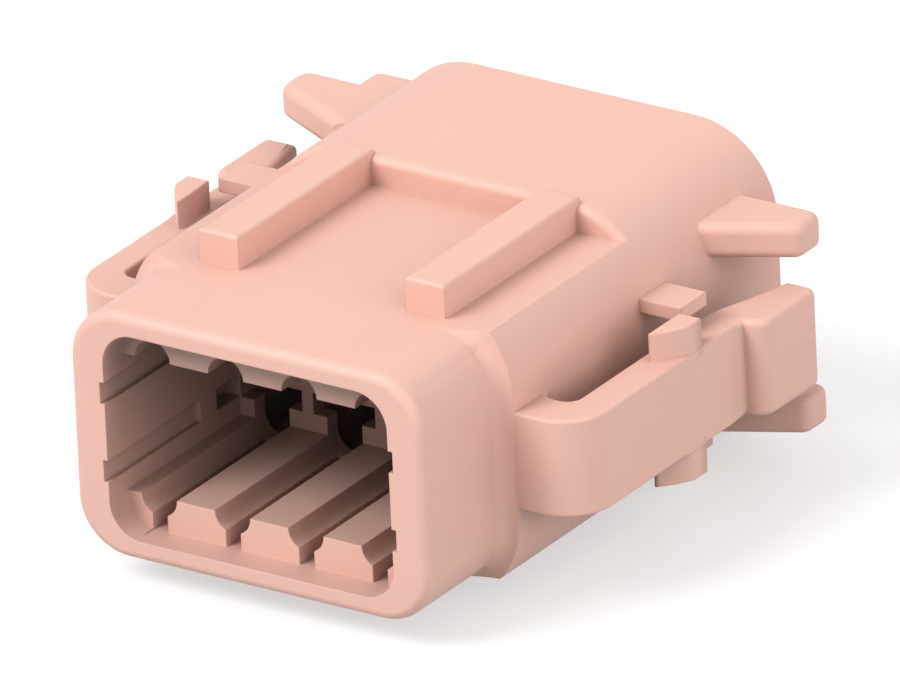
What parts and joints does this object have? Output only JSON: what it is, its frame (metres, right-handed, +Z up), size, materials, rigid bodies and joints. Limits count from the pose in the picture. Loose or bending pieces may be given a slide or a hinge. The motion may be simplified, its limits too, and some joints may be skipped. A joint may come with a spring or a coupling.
{
  "type": "sealed wire connector housing",
  "caption": "Open-nosed sealed plug housing with ribbed contact channels, two key bars on top, a sprung latch on each side between swept ears, and a silicone wire seal behind.",
  "frame": {"origin": "on the resting plane, midway across and midway between the rim and the rear face", "axes": "+X to the right seen from the wire side, +Y to the wire side, +Z up"},
  "size_m": [0.0316, 0.0298, 0.016],
  "materials": {
    "housing": "fine satin moulding",
    "latch": "fine satin moulding",
    "seal": "smooth silicone",
    "retainer": "fine satin moulding"
  },
  "bodies": {
    "housing": {"housing": "housing", "wire_seal": "seal", "seal_retainer": "retainer"},
    "latch_left": {"latch_left": "latch"},
    "latch_right": {"latch_right": "latch"}
  },
  "joints": [
    {"name": "latch_left_flex", "type": "hinge", "parent": "housing", "child": "latch_left", "pos_m": [-0.01195, -0.00709, 0.00785], "axis": [0, 0, -1], "range_deg": [0, 8], "stiffness_Nm_per_rad": 0.3},
    {"name": "latch_right_flex", "type": "hinge", "parent": "housing", "child": "latch_right", "pos_m": [0.01195, -0.00709, 0.00785], "axis": [0, 0, 1], "range_deg": [0, 8], "stiffness_Nm_per_rad": 0.3}
  ]
}
